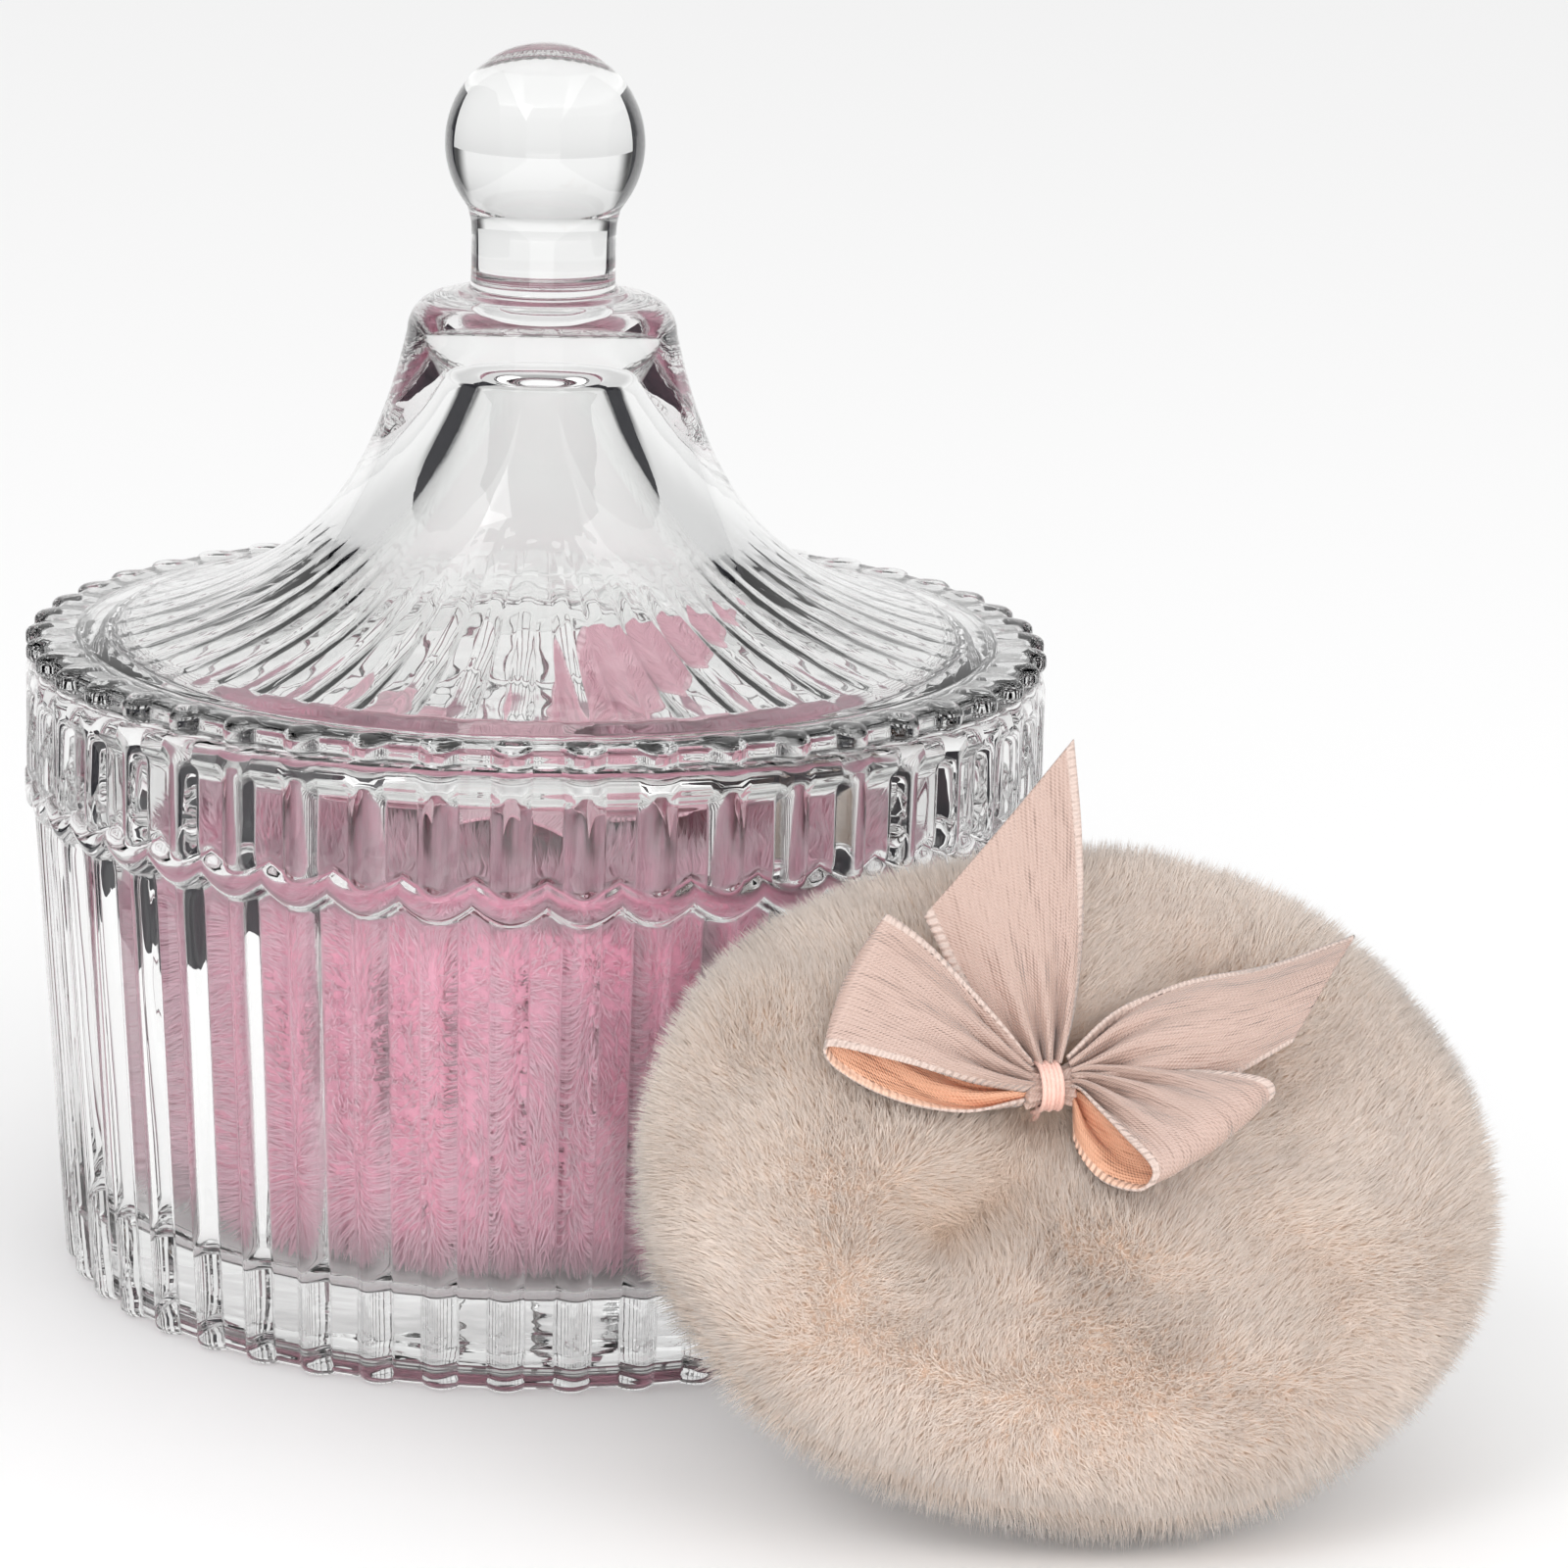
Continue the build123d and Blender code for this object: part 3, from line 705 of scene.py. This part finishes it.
def coverPoints(puff, side, t, angle, inset):
    # a face: a shallow dish out to the crown, then a quarter of a superellipse down to the seam
    thick = puff["crown" if side > 0 else "belly"] - inset
    middle = thick - puff["dimple"] * 0.35
    edge = puff["radius"] - inset
    share = 0.52
    a = np.clip((t - share) / (1 - share), 0, 1) * math.pi / 2
    r = np.where(t < share, puff["crownRadius"] * t / share,
                 puff["crownRadius"] + (edge - puff["crownRadius"]) * np.sin(a) ** (2 / puff["square"]))
    dish = middle + (thick - middle) * smooth(t, 0, share)
    z = np.where(t < share, dish, thick * np.cos(a) ** (2 / puff["square"]))
    # pinched in at the seam, and never quite round
    r = r * (1 - puff["pinch"] * np.exp(-(z / 2.2) ** 2))
    outline = sum(size * np.cos(times * angle - start) for times, size, start in puff["outline"])
    r = r * (1 + outline * smooth(r, 8, edge))
    x, y = r * np.sin(angle), -r * np.cos(angle)
    points = np.stack([x, y, z], -1)
    lump = swell(points, 17.0, puff["seed"] + (side > 0)) * puff["lumps"] * smooth(z, 0, 6)
    z = z + lump
    for hx, hy, reach, depth in puff["hollows"] if side > 0 else [(*puff["tack"], 6.0, 3.0)]:
        z = z - depth * np.exp(-((x - hx) ** 2 + (y - hy) ** 2) / reach**2)
    return np.stack([x, y, side * z], -1)


def surfaceNormals(points, faces):
    # corner normals of each quad's cross product, added up at its four corners
    quads = faces[0]
    p = points[quads]
    n = np.cross(p[:, 2] - p[:, 0], p[:, 3] - p[:, 1])
    total = np.zeros_like(points)
    for k in range(4):
        np.add.at(total, quads[:, k], n)
    return unit(total)


def pile(puff, side, points, normals, quads, count, source):
    # each hair is a closed four-faced sliver; it starts on the skin, leans with the lie of the nap and
    # draws towards the middle of its tuft
    corner = points[quads]
    area = np.linalg.norm(np.cross(corner[:, 2] - corner[:, 0], corner[:, 3] - corner[:, 1]), axis=1)
    pick = source.choice(len(quads), count, p=area / area.sum())
    u, v = source.random((2, count, 1))
    weights = [(1 - u) * (1 - v), u * (1 - v), u * v, (1 - u) * v]
    root = sum(w * points[quads[pick, k]] for k, w in enumerate(weights))
    normal = unit(sum(w * normals[quads[pick, k]] for k, w in enumerate(weights)))
    flow = np.stack([swell(root, 26.0, puff["seed"] + 30 + k) for k in range(3)], -1)
    flow = flow + np.stack([root[:, 0], root[:, 1], 0 * root[:, 0]], -1) / puff["radius"] * 0.5
    flow = flow - (flow * normal).sum(-1, keepdims=True) * normal
    loose = source.normal(size=(count, 3)) * 0.2
    near = np.abs(root[:, 2:]) / puff["crown"]
    length = puff["pile"] * source.uniform(0.62, 1.05, (count, 1))
    length = length * (1 - puff["pinch"] * 11 * (1 - smooth(near, 0.02, 0.3)))
    way = unit(normal + puff["lay"] * flow + loose)
    tip = root + way * length
    # tufts: hairs whose tips fall in one cell of a jittered lattice lean to its middle
    cell = puff["tuft"]
    lattice = np.floor(tip / cell)
    key = (lattice * np.array([12.9898, 78.233, 37.719])).sum(-1)
    jitter = np.stack([np.mod(np.sin(key + k) * 43758.5, 1.0) for k in range(4)], -1)
    middle = (lattice + 0.25 + 0.5 * jitter[:, :3]) * cell
    tip = tip + (middle - tip) * puff["draw"]
    if puff["limit"]:
        reach = np.linalg.norm(tip[:, :2], axis=1, keepdims=True)
        tip[:, :2] *= np.minimum(1, puff["limit"] / reach)
    way = unit(tip - root)
    sideways = unit(np.cross(way, unit(source.normal(size=(count, 3)))))
    across = np.cross(way, sideways)
    half = puff["pileWidth"] / 2 * source.uniform(0.8, 1.2, (count, 1))
    foot = root - normal * 0.5
    ring = [foot + half * (math.cos(a) * sideways + math.sin(a) * across) for a in (0, 2.0944, 4.1888)]
    verts = np.stack([*ring, tip], 1).reshape(-1, 3)
    base = np.arange(count)[:, None] * 4
    tris = np.concatenate([base + np.array([c]) for c in ((0, 1, 3), (1, 2, 3), (2, 0, 3), (0, 2, 1))])
    spread = [unit(normal * 1.0 + 0.45 * unit(r - foot)) for r in ring]
    shading = np.stack([*spread, unit(normal + 0.25 * way)], 1).reshape(-1, 3)
    # painted shade deep in the pile: the three foot corners of each hair take almost all of the darker root
    # colour, the tip takes the tip colour
    reach = np.tile([0.05, 0.05, 0.05, 1.0], count) * np.repeat(source.uniform(0.75, 1.0, count), 4)
    # painted shade in the deep hollows: the hairs there take more of the darker root colour
    for hx, hy, width, depth in puff["hollows"] if side > 0 else []:
        near = np.exp(-((root[:, 0] - hx) ** 2 + (root[:, 1] - hy) ** 2) / (0.9 * width) ** 2)
        reach = reach * np.repeat(1 - np.clip(0.28 * depth * near, 0, 0.95), 4)
    tuft = np.repeat(jitter[:, 3], 4)
    return verts, tris, shading, reach, tuft


def buildCover(puff, side, material, count):
    source = np.random.default_rng(puff["seed"] * 10 + (side > 0))
    rows, columns = cover["rows"], cover["columns"]
    t = np.linspace(0.015, 1, rows)[:, None]
    angle = np.linspace(0, 2 * math.pi, columns, endpoint=False)[None, :] * side
    t, angle = np.broadcast_arrays(t, angle)
    skin = coverPoints(puff, side, t, angle, puff["skin"])[::-1]
    # lining: the same surface further in, so that the cover is a closed shell
    lining = coverPoints(puff, side, t[::4], angle[::4], cover["lining"])
    shell = np.concatenate([lining, skin])
    lowPole, highPole = lining[0].mean(0), skin[-1].mean(0)
    points, faces = closedGrid(shell, [lowPole, highPole])
    skinStart = len(lining) * columns
    quads = gridQuads(rows, columns, True, skinStart)
    normals = surfaceNormals(points, faces)
    # at the seam the hairs follow the skin alone, not the turned-in edge
    outer = slice(skinStart, skinStart + rows * columns)
    normals[outer] = surfaceNormals(points, [quads])[outer]
    verts, tris, shading, reach, tuft = pile(puff, side, points, normals, quads, count, source)
    first = len(points)
    everything = puffPlace(puff, np.concatenate([points, verts]))
    # what would reach below the table or the jar's floor is pressed flat on it
    ground = puff["ground"]
    low = everything[:, 2] < ground
    everything[low, 2] = ground + 0.04 * (everything[low, 2] - ground)
    everything[:, 2] = np.maximum(everything[:, 2], ground - 0.12)
    shade = np.concatenate([normals, shading]) @ puff["turn"].T
    # painted shade under the pile: the skin takes mostly the darker root colour
    values = {
        "rootShadeFade": np.concatenate([np.full(first, 0.12), reach]),
        "pileTuft": np.concatenate([np.full(first, 0.5), tuft]),
    }
    where = "top" if side > 0 else "bottom"
    name = f"{puff['name']}_{where}_plush"
    mesh = makeMesh(name, everything, [faces[0], np.concatenate([faces[1], tris + first])],
                    normals=shade, values=values)
    piece = addPiece(name, mesh, material, puff["body"], [f"{puff['name']}_{where}_cover"])


def buildFilling(puff):
    # the loose fibre ball: both linings, a little further in
    columns = 160
    t = np.linspace(0.02, 1, 36)[:, None]
    angle = np.linspace(0, 2 * math.pi, columns, endpoint=False)[None, :]
    t, angle = np.broadcast_arrays(t, angle)
    lower = coverPoints(puff, -1, t, angle, cover["filling"])
    upper = coverPoints(puff, 1, t[:-1], angle[:-1], cover["filling"])[::-1]
    both = np.concatenate([lower, upper])
    both = both + 0.35 * swell(both, 4.0, puff["seed"] + 60, 3)[..., None] * unit(both)
    points, faces = closedGrid(both, [both[0].mean(0), both[-1].mean(0)])
    count = len(points)
    values = {"rootShadeFade": np.full(count, 0.7), "pileTuft": 0.5 + 0.3 * swell(points, 3.0, 5)}
    name = f"{puff['name']}_fibre_filling"
    mesh = makeMesh(name, puffPlace(puff, points), faces, values=values)
    piece = addPiece(name, mesh, fibreFill, puff["body"], [f"{puff['name']}_filling"])


def buildPuff(puff, material):
    buildCover(puff, 1, material, puff["hairs"][0])
    buildCover(puff, -1, material, puff["hairs"][1])
    buildFilling(puff)


buildPuff(creamPuff, creamPlush)
buildPuff(pinkPuff, pinkPlush)
print("puffs built")


def tube(path, radius, sides=10, reference=(0.31, 0.17, 0.94)):
    # rings of the given radius square to the path, closed by a rounded end at each side
    way = unit(np.gradient(path, axis=0))
    side = unit(np.cross(way, np.array(reference)))
    up = np.cross(way, side)
    a = np.linspace(0, 2 * math.pi, sides, endpoint=False)
    run = alongLength(path)
    ends = np.minimum(run, run[-1] - run) / radius
    size = radius * np.sqrt(np.clip(1 - (1 - np.clip(ends, 0.02, 1)) ** 2, 0.0, 1))
    ring = np.cos(a)[None, :, None] * side[:, None] - np.sin(a)[None, :, None] * up[:, None]
    points = path[:, None] + size[:, None, None] * ring
    return closedGrid(points, [path[0], path[-1]])


def joined(parts):
    points, quads, tris, first = [], [], [], 0
    for p, (q, t) in parts:
        points.append(p)
        quads.append(q + first)
        tris.append(t + first)
        first += len(p)
    return np.concatenate(points), [np.concatenate(quads), np.concatenate(tris)]


def buildThreads(puff, material):
    name = puff["name"]
    # binding: a thread wound side by side round the waist, along the local x axis
    turns, count = 5, 5 * 28
    a = np.linspace(0, turns * 2 * math.pi, count)
    x = np.linspace(-1.0, 1.0, count)
    r = 2.02 + 0.06 * np.sin(a * 0.5)
    wound = np.stack([x, r * np.cos(a), r * np.sin(a)], -1)
    points, faces = tube(wound, 0.25, 8, (1, 0, 0))
    points = points @ puff["turn"].T + puff["knot"]
    addPiece(f"{name}_bow_binding_thread", makeMesh("binding", points, faces), material, puff["body"],
             [f"{name}_bow_binding"])
    # tack: two twisted strands down through the puff, and a rosette of stitches on its back
    top = puff["knotHeight"] - 2.35
    back = puff["dimple"] - puff["belly"]
    z = np.linspace(top, back - 0.2, 120)
    parts = []
    for start in (0, math.pi):
        a = z * 2.2 + start
        strand = np.stack([0.24 * np.cos(a), 0.24 * np.sin(a), z], -1)
        parts.append(tube(strand, 0.25, 8, (1, 0, 0)))
    a = np.linspace(0, 2 * math.pi, 181)
    petal = 1.9 * np.cos(2.5 * a * 2) ** 2 * 0.75 + 0.45
    rosette = np.stack([petal * np.cos(a), petal * np.sin(a), back - 0.3 - 0.12 * np.cos(5 * a)], -1)
    parts.append(tube(rosette, 0.26, 8))
    points, faces = joined(parts)
    points = puffPlace(puff, points + np.array([*puff["tack"], 0]))
    addPiece(f"{name}_tack_stitch", makeMesh("tack", points, faces), material, puff["body"],
             [f"{name}_tack_thread"])


buildThreads(creamPuff, peachThread)
buildThreads(pinkPuff, pinkThread)
print("threads built")


ribbon = {"width": 16.0, "shown": 15.8, "cloth": 0.28, "uvSize": 60.0, "pleats": 3.5, "gatherReach": 8.5}

# Each piece is a strip between two edges, in mm from the knot. A loop runs out from under the knot, round its
# fold and back over the top; a tail runs out to its slanted cut.
creamBow = {
    "left_loop": {
        "near": [(-2.3, -1.3, -0.3), (-8, -2.2, -0.2), (-15, -1.2, 1.4), (-20.2, 1.6, 3.2), (-20.7, 2.3, 4.6),
                 (-15, 0.6, 4.8), (-8, -1.0, 3.4), (-2.3, -1.0, 1.2)],
        "far": [(-2.4, 0.8, -0.4), (-6.5, 4.6, 1.4), (-10.5, 9.2, 4.6), (-13.8, 12.1, 8.6), (-14.4, 12.2, 10.0),
                (-11.0, 9.8, 8.8), (-6.0, 5.2, 5.2), (-2.2, 1.3, 1.5)],
        "arch": 0.9, "turned": True, "held": "folded", "phase": 0.4,
    },
    "right_loop": {
        "near": [(2.3, -1.3, -0.9), (1.6, -5.6, -0.6), (2.8, -10.4, 0.9), (5.4, -12.6, 3.0), (6.0, -11.9, 4.7),
                 (4.2, -7.8, 4.2), (2.6, -3.8, 2.8), (2.3, -1.2, 1.2)],
        "far": [(2.5, 0.6, -0.6), (8.0, -0.8, 0.6), (13.5, -3.6, 3.6), (17.6, -6.3, 6.8), (17.3, -5.7, 8.3),
                (12.0, -3.0, 6.6), (6.4, -0.9, 3.8), (2.4, 0.5, 1.6)],
        "arch": 0.7, "turned": False, "held": "folded", "phase": 1.1,
    },
    "upper_tail": {
        "near": [(1.2, 1.5, 1.2), (2.6, 5.0, 3.4), (3.7, 11.0, 7.6), (3.8, 18.0, 12.8), (3.2, 24.5, 18.0)],
        "far": [(-1.6, 1.6, 0.8), (-4.4, 4.6, 1.8), (-7.6, 9.0, 4.2), (-10.2, 13.8, 7.0)],
        "arch": 0.8, "turned": True, "held": "gathered", "phase": 0.0,
    },
    "side_tail": {
        "near": [(2.2, -0.9, 1.4), (7.5, -3.0, 3.2), (13.5, -3.4, 4.6), (20.8, -0.7, 6.5)],
        "far": [(1.9, 1.5, 1.6), (6.6, 4.8, 4.2), (12.5, 6.2, 6.2), (20.0, 6.3, 8.2), (27.5, 7.5, 10.5)],
        "arch": 2.0, "turned": True, "held": "gathered", "phase": 2.0,
    },
}
pinkBow = {
    "left_loop": {
        "near": [(-2.3, -1.5, -0.6), (-8, -5.0, 0.2), (-15, -7.2, 2.0), (-19.8, -7.2, 3.8), (-20.0, -6.8, 5.4),
                 (-14, -5.6, 5.6), (-7, -3.4, 4.0), (-2.3, -1.2, 1.3)],
        "far": [(-2.3, 1.3, -0.6), (-7, 4.6, 1.2), (-12, 6.8, 4.8), (-15.8, 7.1, 8.2), (-16.2, 6.9, 9.8),
                (-11, 5.8, 8.6), (-6, 3.6, 5.6), (-2.3, 1.4, 1.4)],
        "arch": 1.0, "turned": True, "held": "folded", "phase": 0.2,
    },
    "right_loop": {
        "near": [(2.3, -1.5, -0.6), (6, -6.2, 0.2), (11.5, -11.2, 2.0), (15.9, -13.1, 3.7), (16.2, -12.7, 5.4),
                 (12, -9.6, 5.6), (6.5, -4.8, 4.0), (2.3, -1.3, 1.3)],
        "far": [(2.3, 1.3, -0.6), (9, 2.2, 1.0), (16.5, 2.2, 3.8), (21.8, 1.6, 6.6), (22.1, 1.4, 8.4),
                (16.5, 1.8, 7.6), (8.5, 1.8, 5.0), (2.3, 1.3, 1.4)],
        "arch": 0.9, "turned": False, "held": "folded", "phase": 1.4,
    },
    "upper_tail": {
        "near": [(1.8, -0.6, 2.0), (7.0, -0.8, 5.6), (13.0, 0.2, 11.0), (17.0, 1.6, 16.4), (19.0, 3.0, 21.5)],
        "far": [(-0.4, 1.4, 2.0), (0.4, 2.6, 6.5), (2.0, 3.8, 12.5), (4.0, 4.5, 18.5)],
        "arch": 0.8, "turned": True, "held": "gathered", "phase": 0.0,
    },
    "side_tail": {
        "near": [(-1.4, -1.9, 1.0), (-4.0, -7.5, 3.6), (-6.4, -15.0, 5.4), (-7.0, -23.0, 6.2),
                 (-6.0, -29.0, 6.0)],
        "far": [(1.2, -1.9, 0.8), (4.4, -7.0, 2.4), (5.6, -15.0, 3.2), (4.0, -23.0, 3.2)],
        "arch": 1.2, "turned": True, "held": "gathered", "phase": 1.0,
    },
}


def stripPoints(piece, rows, columns, isLoop):
    # the strip between the two edges; the spare width goes into pleats near the knot and a low arch further out
    near, far = smoothCurve(piece["near"], rows), smoothCurve(piece["far"], rows)
    if piece["turned"]:
        near, far = far, near
    v = np.linspace(0, 1, columns)
    flat = near[:, None] * (1 - v)[None, :, None] + far[:, None] * v[None, :, None]
    across = far - near
    chord = np.linalg.norm(across, axis=1)
    way = np.gradient((near + far) / 2, axis=0)
    normal = unit(np.cross(across, way))
    run = alongLength((near + far) / 2)
    fromKnot = np.minimum(run, run[-1] - run) if isLoop else run
    slack = np.sqrt(np.clip(ribbon["shown"] ** 2 - chord**2, 0, None))
    gathered = np.exp(-(fromKnot / ribbon["gatherReach"]) ** 2)
    depth = gathered * slack / (4 * ribbon["pleats"] * 1.05)
    wave = np.sin(2 * math.pi * ribbon["pleats"] * v[None, :] + piece["phase"] + 0.12 * fromKnot[:, None])
    wide = np.sin(math.pi * v)[None, :] * piece["arch"] * smooth(fromKnot, 1.0, 9.0)[:, None]
    points = flat + normal[:, None] * (depth[:, None] * wave + wide)[..., None]
    length = alongLength(near)[-1] * (1 - v) + alongLength(far)[-1] * v
    uv = np.stack(np.broadcast_arrays(v[None, :] * ribbon["width"],
                                      (run / run[-1])[:, None] * length[None, :]), -1) / ribbon["uvSize"]
    return points, uv, length


def buildStrip(puff, key, piece, materials):
    isLoop = "loop" in key
    rows, columns = (110, 46) if isLoop else (76, 46)
    points, uv, length = stripPoints(piece, rows, columns, isLoop)
    flatPoints = points.reshape(-1, 3) @ puff["turn"].T + puff["knot"]
    name = f"{puff['name']}_bow_{key}_ribbon"
    mesh = makeMesh(name, flatPoints, [gridQuads(rows, columns, False)], uv=uv.reshape(-1, 2))
    strip = addPiece(name, mesh, materials, puff["body"], [f"{puff['name']}_bow_{key}"])
    wall = strip.modifiers.new("clothThickness", "SOLIDIFY")
    wall.thickness = ribbon["cloth"] * mm
    wall.offset = 0.0
    wall.material_offset = 1


def buildWaist(puff, materials):
    # the gathered waist: a bundle with folds all round it, pinched under the thread
    rows, columns = 40, 120
    x = np.linspace(-2.3, 2.3, rows)[:, None]
    a = np.linspace(0, 2 * math.pi, columns, endpoint=False)[None, :]
    size = 1.5 + 0.28 * smooth(np.abs(x), 0.9, 2.2) - 0.5 * smooth(np.abs(x), 2.1, 2.35)
    r = size * (1 + 0.1 * np.cos(9 * a + 0.5 * x) + 0.05 * np.cos(17 * a - 0.8 * x))
    local = np.stack(np.broadcast_arrays(x, r * np.cos(a), r * np.sin(a)), -1)
    points, faces = closedGrid(local, [(-2.35, 0, 0), (2.35, 0, 0)])
    uv = np.concatenate([
        np.stack(np.broadcast_arrays(0.05 + 0.16 * a / (2 * math.pi), x / 60 + 0.1), -1).reshape(-1, 2),
        np.array([[0.1, 0.06], [0.1, 0.14]]),
    ])
    name = f"{puff['name']}_bow_waist_gather"
    mesh = makeMesh(name, points @ puff["turn"].T + puff["knot"], faces, uv=uv)
    addPiece(name, mesh, materials, puff["body"], [f"{puff['name']}_bow_waist"])


def buildBow(puff, bow, materials):
    buildWaist(puff, materials[:1])
    for key, piece in bow.items():
        buildStrip(puff, key, piece, materials)


buildBow(creamPuff, creamBow, [peachSatin, peachLining])
buildBow(pinkPuff, pinkBow, [pinkSatin, pinkLining])
print("bows built")
